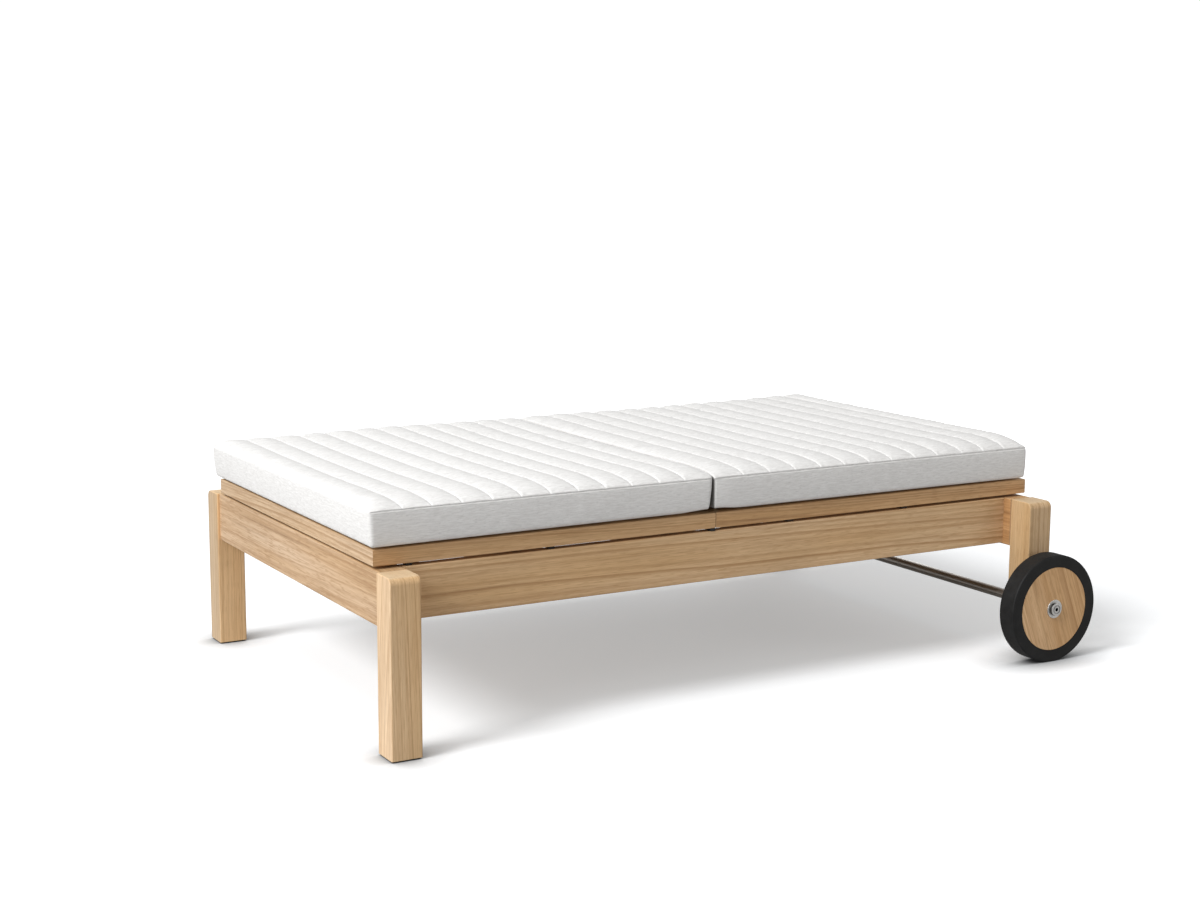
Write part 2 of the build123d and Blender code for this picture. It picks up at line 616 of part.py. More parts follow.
# ---- cushions ---------------------------------------------------------------
def crowned(a0, a1, z0, seam, crown, run):
    """Closed outline in (a, z): upright sides and a crowned top."""
    mid = seam + (crown - seam) * 0.66
    return make_face(Polyline((a0, z0), (a1, z0), (a1, seam),
                              (a1 - run * 0.4, mid), (a1 - run, crown),
                              (a0 + run, crown), (a0 + run * 0.4, mid),
                              (a0, seam), close=True))


def cushion(x0, x1):
    y0, y1 = CUSHION_SIDE, FAR - CUSHION_SIDE
    across = Plane.YZ * crowned(y0, y1, CUSHION_Z0, CUSHION_SEAM,
                                CUSHION_CROWN, 95.0)
    across = Pos(x0, 0, 0) * extrude(across, amount=x1 - x0, dir=(1, 0, 0))
    along = Plane.XZ * crowned(x0, x1, CUSHION_Z0, CUSHION_SEAM,
                               CUSHION_CROWN, 70.0)
    along = Pos(0, y0, 0) * extrude(along, amount=y1 - y0, dir=(0, 1, 0))
    plan = Pos((x0 + x1) / 2, (y0 + y1) / 2, CUSHION_Z0 - 1) * extrude(
        RectangleRounded(x1 - x0, y1 - y0, CUSHION_CORNER_R),
        amount=CUSHION_CROWN - CUSHION_Z0 + 2)
    return across & along & plan


T = math.tan(math.radians(FOLD_HALF_DEG))
Z_HI = CUSHION_CROWN + 60


def fold_region(side):
    """Space beside the hinge line that a rigid cushion couldn't keep when
    the backrest is at its steepest; the soft end gives way there."""
    far = DECK_SPLIT - side * 300
    pts = [(DECK_SPLIT + side * 0.5, DECK_Z1),
           (DECK_SPLIT + side * ((Z_HI - DECK_Z1) * T + 0.5), Z_HI),
           (far, Z_HI), (far, DECK_Z1)]
    return prism_xz(pts, -50, FAR + 50)


SEAT_C = cushion(*SEAT_CUSHION_X)
BACK_C = cushion(*BACK_CUSHION_X)
save("seat_cushion", SEAT_C - fold_region(-1))
save("seat_cushion_fold", SEAT_C & fold_region(-1))
save("back_cushion", BACK_C - fold_region(1))
save("back_cushion_fold", BACK_C & fold_region(1))
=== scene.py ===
"""Looks of the double chaise lounger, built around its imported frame.

Row frame, metres: +X towards the wheeled head end, +Y to the left of a person
who faces the head end, +Z up, origin on the ground under the middle.
"""

import math

import bmesh
import bpy
import numpy as np
from mathutils import Matrix, Vector


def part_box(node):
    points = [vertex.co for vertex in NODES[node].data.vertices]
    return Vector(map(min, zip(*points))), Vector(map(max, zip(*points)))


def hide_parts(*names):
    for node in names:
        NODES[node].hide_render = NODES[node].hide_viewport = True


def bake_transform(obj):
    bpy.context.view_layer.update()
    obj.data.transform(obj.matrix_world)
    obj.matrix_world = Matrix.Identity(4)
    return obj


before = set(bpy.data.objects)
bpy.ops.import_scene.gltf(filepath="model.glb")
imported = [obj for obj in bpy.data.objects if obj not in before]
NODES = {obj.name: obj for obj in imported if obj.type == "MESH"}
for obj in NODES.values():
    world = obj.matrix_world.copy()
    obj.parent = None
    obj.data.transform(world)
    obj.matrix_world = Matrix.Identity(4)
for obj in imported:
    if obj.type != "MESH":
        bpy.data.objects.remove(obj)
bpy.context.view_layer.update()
scene = bpy.context.scene

OX, OY = 1047.5, 640.0      # row origin in the layout used below (millimetres)


# ---- small node helpers -----------------------------------------------------
class Tree:
    """Thin wrapper that keeps the material code readable."""

    def __init__(self, name):
        self.mat = bpy.data.materials.new(name)
        self.mat.use_nodes = True
        self.nt = self.mat.node_tree
        self.nt.nodes.clear()
        self.x = -1800

    def node(self, kind, **props):
        n = self.nt.nodes.new(kind)
        n.location = (self.x, 0)
        self.x += 40
        for k, v in props.items():
            setattr(n, k, v)
        return n

    def link(self, a, b):
        self.nt.links.new(a, b)

    def put(self, socket, value):
        if isinstance(value, bpy.types.NodeSocket):
            self.link(value, socket)
        else:
            socket.default_value = value

    def math(self, op, a, b=0.0, c=0.0, clamp=False):
        n = self.node("ShaderNodeMath", operation=op, use_clamp=clamp)
        for i, v in enumerate((a, b, c)):
            if i < len(n.inputs):
                self.put(n.inputs[i], v)
        return n.outputs[0]

    def vec(self, op, a, b=(0, 0, 0)):
        n = self.node("ShaderNodeVectorMath", operation=op)
        self.put(n.inputs[0], a)
        self.put(n.inputs[1], b)
        return n.outputs[0]

    def noise(self, vector, scale=1.0, detail=2.0, rough=0.5, dist=0.0):
        n = self.node("ShaderNodeTexNoise")
        self.link(vector, n.inputs["Vector"])
        n.inputs["Scale"].default_value = scale
        n.inputs["Detail"].default_value = detail
        n.inputs["Roughness"].default_value = rough
        n.inputs["Distortion"].default_value = dist
        return n.outputs["Fac"]

    def remap(self, value, a, b, c=0.0, d=1.0, smooth=False):
        n = self.node("ShaderNodeMapRange", clamp=True)
        if smooth:
            n.interpolation_type = "SMOOTHSTEP"
        self.link(value, n.inputs["Value"])
        for key, v in (("From Min", a), ("From Max", b), ("To Min", c),
                       ("To Max", d)):
            n.inputs[key].default_value = v
        return n.outputs["Result"]

    def mix(self, fac, a, b, kind="MIX"):
        n = self.node("ShaderNodeMix", data_type="RGBA", blend_type=kind)
        self.put(n.inputs["Factor"], fac)
        for key, v in (("A", a), ("B", b)):
            s = [i for i in n.inputs if i.name == key and i.type == "RGBA"][0]
            if isinstance(v, (tuple, list)):
                s.default_value = (*v[:3], 1.0)
            else:
                self.link(v, s)
        return [o for o in n.outputs if o.type == "RGBA"][0]

    def bump(self, height, strength, distance, normal=None):
        n = self.node("ShaderNodeBump")
        n.inputs["Strength"].default_value = strength
        n.inputs["Distance"].default_value = distance
        self.link(height, n.inputs["Height"])
        if normal is not None:
            self.link(normal, n.inputs["Normal"])
        return n.outputs["Normal"]

    def shader(self, color, rough, normal=None, **values):
        n = self.node("ShaderNodeBsdfPrincipled")
        out = self.node("ShaderNodeOutputMaterial")
        self.put(n.inputs["Base Color"],
                 (*color, 1.0) if isinstance(color, tuple) else color)
        self.put(n.inputs["Roughness"], rough)
        if normal is not None:
            self.link(normal, n.inputs["Normal"])
        for key, v in values.items():
            n.inputs[key.replace("_", " ")].default_value = v
        self.link(n.outputs[0], out.inputs["Surface"])
        return self.mat


# ---- teak -------------------------------------------------------------------
LIGHT = (0.760, 0.560, 0.350)
MID = (0.655, 0.440, 0.235)
DARK = (0.400, 0.225, 0.100)
STREAK = (0.235, 0.125, 0.055)
END = (0.720, 0.580, 0.400)


def teak(name, axis, seed, centre, pith=(0.06, 0.11), tilt=(0.0, 0.0),
         ring=0.0052, tone=1.0, warm=0.0, rings=0.55, streaks=0.5,
         slats=None, turn=0.0, facing=None, figure=0.5):
    """Solid teak: growth rings about a pith line outside the piece, so that
    the lines on every face and end belong together. axis is the grain's row
    axis, centre a point inside the piece. facing paints light and shade into
    the faces towards the foot end, which face the key lamp; figure sets how
    strongly the lines show."""
    t = Tree(name)
    tc = t.node("ShaderNodeTexCoord")
    p = t.vec("SUBTRACT", tc.outputs["Object"], tuple(centre))
    if turn:
        m = t.node("ShaderNodeMapping")
        t.link(p, m.inputs["Vector"])
        m.inputs["Rotation"].default_value = (0.0, turn, 0.0)
        p = m.outputs[0]
    sep = t.node("ShaderNodeSeparateXYZ")
    t.link(p, sep.inputs[0])
    order = {"X": (0, 1, 2), "Y": (1, 0, 2), "Z": (2, 0, 1)}[axis]
    u, v, w = (sep.outputs[i] for i in order)
    if slats is not None:
        # each slat of a row is its own stick of wood
        first, pitch = slats
        raw = t.node("ShaderNodeSeparateXYZ")
        t.link(tc.outputs["Object"], raw.inputs[0])
        cell = t.math("FLOOR", t.math("DIVIDE", t.math(
            "SUBTRACT", raw.outputs[0], first), pitch))
        wn = t.node("ShaderNodeTexWhiteNoise", noise_dimensions="1D")
        t.link(t.math("ADD", cell, seed), wn.inputs["W"])
        hop = t.node("ShaderNodeSeparateXYZ")
        t.link(wn.outputs["Color"], hop.inputs[0])
        u = t.math("ADD", u, t.math("MULTIPLY", hop.outputs[0], 9.0))
        w = t.math("ADD", w, t.math("MULTIPLY", hop.outputs[1], 0.08))
        tone_var = t.remap(hop.outputs[2], 0, 1, 0.93, 1.05)
    comb = t.node("ShaderNodeCombineXYZ")
    for i, c in enumerate((u, v, w)):
        t.link(c, comb.inputs[i])
    q = t.vec("ADD", comb.outputs[0], (seed * 1.7, seed * 0.61, seed * 0.37))

    # growth rings
    slow = t.noise(t.vec("MULTIPLY", q, (0.8, 5.0, 5.0)), 1.0, 1.5)
    wob = t.noise(t.vec("MULTIPLY", q, (2.6, 20.0, 20.0)), 1.0, 1.0)
    vv = t.math("ADD", t.math("MULTIPLY_ADD", u, tilt[0], v), pith[0])
    ww = t.math("ADD", t.math("MULTIPLY_ADD", u, tilt[1], w), pith[1])
    r = t.math("SQRT", t.math("ADD", t.math("MULTIPLY", vv, vv),
                              t.math("MULTIPLY", ww, ww)))
    r = t.math("MULTIPLY_ADD", slow, 0.026, r)
    r = t.math("MULTIPLY_ADD", wob, 0.0028, r)
    phase = t.math("DIVIDE", r, ring)
    n1 = t.node("ShaderNodeTexNoise", noise_dimensions="1D")
    t.link(t.math("MULTIPLY_ADD", r, 48.0, seed), n1.inputs["W"])
    n1.inputs["Scale"].default_value = 1.0
    n1.inputs["Detail"].default_value = 1.0
    phase = t.math("MULTIPLY_ADD", n1.outputs["Fac"], 2.4, phase)
    fr = t.math("FRACT", phase)
    rise = t.remap(fr, 0.25, 0.86, 0.0, 1.0, smooth=True)
    fall = t.remap(fr, 0.92, 1.0, 1.0, 0.0, smooth=True)
    late = t.math("MULTIPLY", rise, fall)
    # some rings are strong, others hardly show
    which = t.node("ShaderNodeTexNoise", noise_dimensions="1D")
    t.link(t.math("MULTIPLY_ADD", t.math("FLOOR", phase), 0.73, seed),
           which.inputs["W"])
    which.inputs["Scale"].default_value = 1.0
    which.inputs["Detail"].default_value = 0.0
    late = t.math("MULTIPLY", late,
                  t.remap(which.outputs["Fac"], 0.30, 0.72, 0.15, 1.0))

    # fibres and pores
    fib = t.noise(t.vec("MULTIPLY", q, (9.0, 420.0, 420.0)), 1.0, 3.0, 0.6)
    fine = t.noise(t.vec("MULTIPLY", q, (26.0, 1100.0, 1100.0)), 1.0, 2.0)
    dash = t.noise(t.vec("MULTIPLY", q, (30.0, 410.0, 410.0)), 1.0, 0.5)
    pores = t.remap(dash, 0.585, 0.68, 0.0, 1.0)
    hair = t.noise(t.vec("MULTIPLY", q, (4.0, 260.0, 260.0)), 1.0, 1.5)
    hairs = t.remap(hair, 0.58, 0.70, 0.0, 0.75 * figure)
    band = t.remap(t.noise(t.vec("MULTIPLY", q, (0.5, 26.0, 26.0)), 1.0, 1.0),
                   0.42, 0.66)
    broad = t.noise(t.vec("MULTIPLY", q, (0.9, 13.0, 13.0)), 1.0, 2.0)
    cloud = t.noise(t.vec("MULTIPLY", q, (3.5, 9.0, 9.0)), 1.0, 2.0)
    lines = t.noise(t.vec("MULTIPLY", q, (0.75, 85.0, 85.0)), 1.0, 1.5)
    mineral = t.remap(t.noise(t.vec("MULTIPLY", q, (1.1, 34.0, 34.0)),
                              1.0, 1.0), 0.64, 0.78, 0.0, streaks)

    col = t.mix(t.remap(broad, 0.34, 0.66), LIGHT, MID)
    col = t.mix(t.math("MULTIPLY", late, rings), col, DARK)
    col = t.mix(t.remap(fib, 0.44, 0.72, 0.0, 0.42), col, DARK)
    col = t.mix(t.remap(lines, 0.56, 0.70, 0.0, 0.25 + 0.35 * figure), col,
                DARK)
    col = t.mix(t.math("MULTIPLY", hairs, band), col, DARK)
    col = t.mix(t.math("MULTIPLY", pores, 0.10 + 0.40 * figure), col, DARK)
    col = t.mix(mineral, col, STREAK)
    hi = t.remap(fine, 0.30, 0.75, 0.94, 1.05)
    hi = t.math("MULTIPLY", hi, t.remap(cloud, 0.3, 0.7, 0.95, 1.05))
    if slats is not None:
        hi = t.math("MULTIPLY", hi, tone_var)
    g = t.node("ShaderNodeCombineXYZ")
    for i, k in enumerate((tone * (1 + warm), tone, tone * (1 - warm))):
        t.link(t.math("MULTIPLY", hi, k), g.inputs[i])
    col = t.mix(1.0, col, g.outputs[0], "MULTIPLY")

    # end grain is paler and stippled
    nrm = t.node("ShaderNodeSeparateXYZ")
    t.link(tc.outputs["Normal"], nrm.inputs[0])
    # painted light and shade: the faces towards the foot end, which face the key
    # lamp, get their own colour gains
    if facing:
        lit = t.remap(nrm.outputs[0], -0.9, -0.4, 1.0, 0.0)
        k = t.node("ShaderNodeCombineXYZ")
        for i, gain in enumerate(facing):
            t.link(t.math("MULTIPLY_ADD", lit, gain - 1.0, 1.0), k.inputs[i])
        col = t.mix(1.0, col, k.outputs[0], "MULTIPLY")
    if not turn:
        face = t.math("ABSOLUTE", nrm.outputs[order[0]])
        end = t.remap(face, 0.80, 0.96, 0.0, 0.55)
        dots = t.noise(t.vec("MULTIPLY", q, (60.0, 330.0, 330.0)), 1.0, 2.0)
        ecol = t.mix(t.remap(dots, 0.45, 0.65, 0.0, 0.5), END, MID)
        col = t.mix(end, col, ecol)

    rough = t.math("ADD", t.remap(late, 0, 1, 0.60, 0.50),
                   t.remap(fib, 0.3, 0.7, -0.05, 0.08))
    h = t.math("ADD", t.math("MULTIPLY", fib, 0.8),
               t.math("MULTIPLY", pores, -0.8))
    h = t.math("MULTIPLY_ADD", late, 0.35, h)
    nb = t.bump(h, 0.35, 0.0004)
    return t.shader(col, rough, nb, Specular_IOR_Level=0.28)


def assign(node, mat):
    me = NODES[node].data
    me.materials.clear()
    me.materials.append(mat)


def centre(node):
    a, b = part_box(node)
    return tuple((a[i] + b[i]) / 2 for i in range(3))


def slat_rhythm(x0, x1, count, width=60.0):
    gap = (x1 - x0 - count * width) / (count + 1)
    return ((x0 + gap / 2 - OX) / 1000, (width + gap) / 1000)


# node: grain axis, seed, then what is particular to that member; the facing gains
# are painted light and shade on the faces towards the key lamp
TEAK = {
    "leg_foot_right": ("Z", 1.3, dict(pith=(0.15, 0.05), ring=0.0105,
                                      tilt=(0.030, 0.022), rings=0.55,
                                      streaks=0.35, tone=1.15,
                                      facing=(0.96, 1.00, 1.10),
                                      figure=0.35)),
    # painted light: the high tone stands in for light bounced from the floor onto
    # its -Y face, and its facing gains paint shade back onto its -X face
    "leg_foot_left": ("Z", 4.1, dict(pith=(0.11, 0.16), ring=0.0085,
                                     tilt=(0.008, -0.01), rings=0.45,
                                     streaks=0.25, tone=1.42, warm=0.01,
                                     facing=(0.64, 0.69, 0.78),
                                     figure=0.35)),
    "leg_head_right": ("Z", 7.7, dict(pith=(0.19, 0.03), ring=0.0090,
                                      tilt=(0.0, 0.01), rings=0.55,
                                      streaks=0.4, tone=0.98,
                                      facing=(0.84, 0.81, 0.75),
                                      figure=0.55)),
    "leg_head_left": ("Z", 9.2, dict(pith=(0.14, -0.08), ring=0.008,
                                     streaks=0.3)),
    "foot_apron": ("Y", 12.4, dict(pith=(0.20, 0.12), ring=0.0085,
                                   tilt=(0.01, 0.02), rings=0.50,
                                   streaks=0.6, tone=0.925, warm=0.01,
                                   facing=(0.98, 1.00, 1.11),
                                   figure=0.85)),
    # painted shade: its facing gains darken the -X face, which lies in shade
    # beside the leg
    "head_apron": ("Y", 15.9, dict(pith=(0.16, 0.10), ring=0.008,
                                   tilt=(-0.01, 0.012), rings=0.6,
                                   warm=0.04, facing=(0.74, 0.62, 0.50))),
    "side_rail_right": ("X", 18.2, dict(pith=(0.25, 0.09), ring=0.0078,
                                        tilt=(0.004, 0.010), rings=0.72,
                                        streaks=0.40, warm=0.03, tone=1.08,
                                        figure=0.5)),
    "side_rail_left": ("X", 21.5, dict(pith=(0.22, -0.12), ring=0.0080,
                                       tilt=(0.003, -0.008), rings=0.5)),
    "cross_rail_seat": ("Y", 24.7, dict(tone=0.97)),
    "cross_rail_fold": ("Y", 27.1, dict(tone=0.97)),
    "seat_stile_right": ("X", 30.6, dict(pith=(0.10, 0.05), ring=0.0070,
                                         tilt=(0.005, 0.028), rings=0.7,
                                         streaks=1.0, warm=0.065, tone=0.99,
                                         figure=0.7)),
    "seat_stile_left": ("X", 33.3, dict(pith=(0.10, 0.06), ring=0.0070,
                                        tilt=(0.004, -0.02))),
    "seat_foot_rail": ("Y", 36.8, dict(pith=(0.04, 0.03), ring=0.0062,
                                       tilt=(0.05, 0.012), rings=0.65,
                                       warm=0.01, streaks=0.45, tone=0.925,
                                       facing=(0.97, 1.00, 1.10),
                                       figure=0.5)),
    "seat_fold_rail": ("Y", 39.4, dict()),
    "seat_centre_bearer": ("X", 42.2, dict(tone=0.96)),
    "seat_slats": ("Y", 45.0, dict(slats=slat_rhythm(64, 889, 11),
                                   tone=0.97, rings=0.5)),
    "back_stile_right": ("X", 51.7, dict(pith=(0.09, 0.07), ring=0.0066,
                                         tilt=(0.006, 0.018), rings=0.75,
                                         tone=0.90, warm=0.10,
                                         streaks=0.75, figure=0.75)),
    "back_stile_left": ("X", 54.1, dict(tone=0.95, tilt=(0.003, 0.015))),
    "back_fold_rail": ("Y", 57.9, dict(tone=0.95)),
    "back_head_rail": ("Y", 60.2, dict(tone=0.95, tilt=(0.03, 0.01),
                                       rings=0.6)),
    "back_prop_rail": ("Y", 63.8, dict(tone=0.95)),
    "back_centre_bearers": ("X", 66.6, dict(tone=0.95)),
    "back_slats": ("Y", 69.1, dict(slats=slat_rhythm(1011, 1936, 12),
                                   tone=0.96, rings=0.5)),
    "ratchet_left": ("X", 75.5, dict(tone=0.95)),
    "ratchet_right": ("X", 78.3, dict(tone=0.95)),
    "wheel_disc_right": ("Z", 81.4, dict(pith=(0.05, 0.16), ring=0.0080,
                                         turn=math.radians(20), rings=0.7,
                                         tilt=(0.03, 0.0), streaks=0.8,
                                         tone=1.00, warm=0.09, figure=0.7)),
    "wheel_disc_left": ("Z", 84.9, dict(pith=(-0.06, 0.15), ring=0.0080,
                                        turn=math.radians(-14), rings=0.6,
                                        tone=1.00, warm=0.08, figure=0.7)),
}
for node, (axis, seed, extra) in TEAK.items():
    assign(node, teak("teak_" + node, axis, seed, centre(node), **extra))


# ---- metal, rubber, plastic -------------------------------------------------
def steel(name, axis, base, rough, streak=0.10, metallic=1.0):
    t = Tree(name)
    tc = t.node("ShaderNodeTexCoord")
    stretch = {"X": (8.0, 900.0, 900.0), "Y": (900.0, 8.0, 900.0),
               "Z": (900.0, 900.0, 8.0), "": (160.0, 160.0, 160.0)}[axis]
    brush = t.noise(t.vec("MULTIPLY", tc.outputs["Object"], stretch), 1.0, 3.0,
                    0.6)
    smudge = t.noise(tc.outputs["Object"], 34.0, 3.0)
    col = t.mix(t.remap(brush, 0.3, 0.7), tuple(c * 0.86 for c in base),
                tuple(min(1.0, c * 1.1) for c in base))
    r = t.math("ADD", t.remap(brush, 0.3, 0.7, rough - streak, rough + streak),
               t.remap(smudge, 0.4, 0.7, 0.0, 0.08))
    return t.shader(col, r, t.bump(brush, 0.12, 0.0001), Metallic=metallic)


def rubber(name, base, rough, grain=900.0, sheen=0.0, gloss=0.5):
    t = Tree(name)
    tc = t.node("ShaderNodeTexCoord")
    n = t.noise(tc.outputs["Object"], grain, 2.0)
    dust = t.noise(tc.outputs["Object"], 22.0, 4.0, 0.65)
    col = t.mix(t.remap(dust, 0.42, 0.70), base,
                tuple(c * 1.5 + 0.004 for c in base))
    r = t.remap(dust, 0.3, 0.7, rough - 0.06, rough + 0.06)
    return t.shader(col, r, t.bump(n, 0.25, 0.0002), Sheen_Weight=sheen,
                    Specular_IOR_Level=gloss)


AXLE = steel("axle_steel", "Y", (0.56, 0.52, 0.48), 0.33)


def cap_steel(name):
    """Turned cap: bright face, painted shade in the groove and the black socket,
    and a painted dark reflection on the side.
    """
    t = Tree(name)
    tc = t.node("ShaderNodeTexCoord")
    at = t.node("ShaderNodeSeparateXYZ")
    t.link(tc.outputs["Object"], at.inputs[0])
    nrm = t.node("ShaderNodeSeparateXYZ")
    t.link(tc.outputs["Normal"], nrm.inputs[0])
    dx = t.math("SUBTRACT", at.outputs[0], (1950.0 - OX) / 1000)
    dz = t.math("SUBTRACT", at.outputs[2], 0.15)
    r = t.math("SQRT", t.math("ADD", t.math("MULTIPLY", dx, dx),
                              t.math("MULTIPLY", dz, dz)))
    rings = t.node("ShaderNodeTexNoise", noise_dimensions="1D")
    t.link(t.math("MULTIPLY", r, 2600.0), rings.inputs["W"])
    rings.inputs["Detail"].default_value = 2.0
    # painted reflection and shade: the side is coloured near black for the dark
    # tyre and disc it mirrors, and the socket and groove are darkened for the
    # shade in them
    side = t.remap(t.math("ABSOLUTE", nrm.outputs[1]), 0.80, 0.35)
    hole = t.remap(r, 0.0054, 0.0048)
    groove = t.math("MULTIPLY", t.remap(r, 0.0088, 0.0092),
                    t.remap(r, 0.0128, 0.0124))
    col = t.mix(t.remap(rings.outputs["Fac"], 0.3, 0.7), (0.62, 0.61, 0.60),
                (0.80, 0.80, 0.79))
    col = t.mix(t.math("MULTIPLY", groove, 0.45), col, (0.20, 0.19, 0.18))
    col = t.mix(t.math("MULTIPLY", side, 0.92), col, (0.06, 0.055, 0.05))
    col = t.mix(hole, col, (0.008, 0.008, 0.008))
    rough = t.remap(rings.outputs["Fac"], 0.3, 0.7, 0.30, 0.42)
    return t.shader(col, rough, t.bump(rings.outputs["Fac"], 0.1, 0.0001),
                    Metallic=1.0)


CAP = cap_steel("cap_steel")
WASHER = steel("washer_steel", "", (0.74, 0.74, 0.73), 0.36, 0.06)
FITTING = steel("fitting_steel", "X", (0.60, 0.60, 0.59), 0.36)
FITTING_Y = steel("bar_steel", "Y", (0.60, 0.60, 0.59), 0.34)
SCREW = steel("screw_steel", "", (0.66, 0.65, 0.63), 0.30, 0.05)
TYRE = rubber("tyre_rubber", (0.0092, 0.0093, 0.0095), 0.62, 700.0, 0.0,
              0.27)
PAD = rubber("pad_rubber", (0.012, 0.012, 0.012), 0.72)
PAD_BROWN = rubber("pad_rubber_brown", (0.040, 0.024, 0.015), 0.75)
# painted shade: the brackets and their screws are coloured near black to read as
# the shaded gap under the deck where they sit
BRACKET = steel("bracket_steel", "X", (0.15, 0.13, 0.115), 0.45)
BRACKET_SCREW = steel("bracket_screw_steel", "", (0.17, 0.15, 0.13), 0.42,
                      0.05)
GLIDE = rubber("glide_plastic", (0.018, 0.018, 0.018), 0.55)
NYLON = rubber("bush_plastic", (0.62, 0.61, 0.57), 0.45, 400.0)

for node, mat in {
        "axle_tube": AXLE, "axle_end_plugs": AXLE, "axle_washers": WASHER,
        "axle_cap_bolts": CAP, "axle_spacers": NYLON,
        "wheel_bush_left": NYLON, "wheel_bush_right": NYLON,
        "tyre_left": TYRE, "tyre_right": TYRE, "foot_glides": GLIDE,
        "seat_deck_pads": PAD, "backrest_rest_pads": PAD_BROWN,
        "corner_brackets": BRACKET, "deck_fixing_brackets": BRACKET,
        "seat_hinge_leaves": FITTING_Y, "back_hinge_leaves": FITTING_Y,
        "hinge_pins": FITTING_Y, "prop_brackets": FITTING,
        "prop_arms": FITTING, "prop_pivot_bar": FITTING_Y,
        "prop_foot_bar": FITTING_Y, "corner_bracket_screws": BRACKET_SCREW,
        "deck_fixing_screws": BRACKET_SCREW, "seat_slat_screws": SCREW,
        "back_slat_screws": SCREW, "seat_hinge_screws": SCREW,
        "back_hinge_screws": SCREW, "prop_bracket_screws": SCREW,
        "ratchet_screws": SCREW}.items():
    assign(node, mat)


# ---- cushion fabric ---------------------------------------------------------
def fabric(name):
    """Off-white woven melange. The UV map is in metres along the threads."""
    t = Tree(name)
    uv = t.node("ShaderNodeUVMap", uv_map="threads")
    p = uv.outputs[0]
    # slubs: weft flecks long in u, warp flecks long in v
    weft = t.noise(t.vec("MULTIPLY", p, (70.0, 430.0, 1.0)), 1.0, 2.0, 0.6)
    warp = t.noise(t.vec("MULTIPLY", p, (520.0, 130.0, 1.0)), 1.0, 2.0, 0.55)
    fleck = t.noise(t.vec("MULTIPLY", p, (85.0, 480.0, 1.0)), 1.0, 0.5)
    slub = t.noise(t.vec("MULTIPLY", p, (34.0, 240.0, 1.0)), 1.0, 1.5, 0.6)
    mottle = t.noise(t.vec("MULTIPLY", p, (26.0, 44.0, 1.0)), 1.0, 2.0)
    col = t.mix(t.remap(weft, 0.30, 0.72), (0.850, 0.843, 0.832),
                (0.730, 0.722, 0.710))
    col = t.mix(t.remap(warp, 0.50, 0.75, 0.0, 0.35), col,
                (0.66, 0.65, 0.635))
    col = t.mix(t.remap(slub, 0.47, 0.68, 0.0, 0.38), col,
                (0.63, 0.618, 0.60))
    col = t.mix(t.remap(slub, 0.46, 0.30, 0.0, 0.60), col,
                (0.90, 0.895, 0.885))
    col = t.mix(t.remap(fleck, 0.63, 0.75, 0.0, 0.50), col,
                (0.54, 0.53, 0.52))
    col = t.mix(t.remap(mottle, 0.35, 0.65, 0.0, 0.10), col,
                (0.80, 0.79, 0.775))
    # painted shade: little light reaches the faces between the two cushions, so
    # their colour is darkened
    inner = t.node("ShaderNodeAttribute", attribute_name="inner_end")
    col = t.mix(t.math("MULTIPLY", inner.outputs["Fac"], 0.76), col,
                (0.09, 0.084, 0.078))
    # painted shade: the raised backrest squarely faces the key, so its colour is
    # darkened there to keep its quilting visible
    tc = t.node("ShaderNodeTexCoord")
    turn = t.node("ShaderNodeVectorMath", operation="DOT_PRODUCT")
    t.link(tc.outputs["Normal"], turn.inputs[0])
    turn.inputs[1].default_value = (-0.819, 0.0, 0.574)
    at = t.node("ShaderNodeSeparateXYZ")
    t.link(tc.outputs["Object"], at.inputs[0])
    lit = t.math("MULTIPLY", t.remap(turn.outputs["Value"], 0.60, 0.95),
                 t.remap(at.outputs[2], 0.609, 0.63))
    col = t.mix(t.math("MULTIPLY", lit, 0.44), col, (0.30, 0.298, 0.29))
    # plain weave, 1.5 mm repeat
    sp = t.node("ShaderNodeSeparateXYZ")
    t.link(p, sp.inputs[0])
    k = 2 * math.pi / 0.0015
    su = t.math("SINE", t.math("MULTIPLY", sp.outputs[0], k))
    sv = t.math("SINE", t.math("MULTIPLY", sp.outputs[1], k))
    weave = t.math("MULTIPLY", su, sv)
    h = t.math("MULTIPLY_ADD", weave, 0.5, t.math("MULTIPLY", weft, 0.9))
    h = t.math("MULTIPLY_ADD", warp, 0.6, h)
    nb = t.bump(h, 0.30, 0.0004)
    return t.shader(col, t.remap(weft, 0.3, 0.7, 0.82, 0.95), nb,
                    Specular_IOR_Level=0.15, Sheen_Weight=0.10,
                    Sheen_Roughness=0.5)


FABRIC = fabric("cushion_fabric")

# ---- cushions ---------------------------------------------------------------
Y0, Y1 = 93.0, 1187.0           # right and left faces
Z_BOTTOM, Z_SEAM = 486.5, 572.0
SEAT_LINES = (75.7, 150.0, 228.1, 308.2, 384.9, 464.3, 540.8, 618.4, 692.7,
              773.2, 847.0)
BACK_LINES = (1024.1, 1106.3, 1187.3, 1269.7, 1347.9, 1428.3, 1505.3, 1584.8,
              1662.5, 1749.1, 1824.9, 1900.0)
PUFF = 4.2
# height of the quilted top along the lounger, at the stitch lines
TOP_X = (0, 150, 300, 460, 620, 850, 934, 939, 1024, 1300, 1500, 1700, 1983)
TOP_Z = (588.5, 588.5, 590.0, 593.5, 592.5, 592.5, 590.0, 592.0, 594.5,
         592.5, 594.5, 597.5, 601.0)


def quarter(d, reach):
    """0 at the seam, 1 beyond reach, rising steeply first."""
    k = 1.0 - np.clip(d / reach, 0.0, 1.0)
    return np.sqrt(np.clip(1.0 - k * k, 0.0, 1.0))


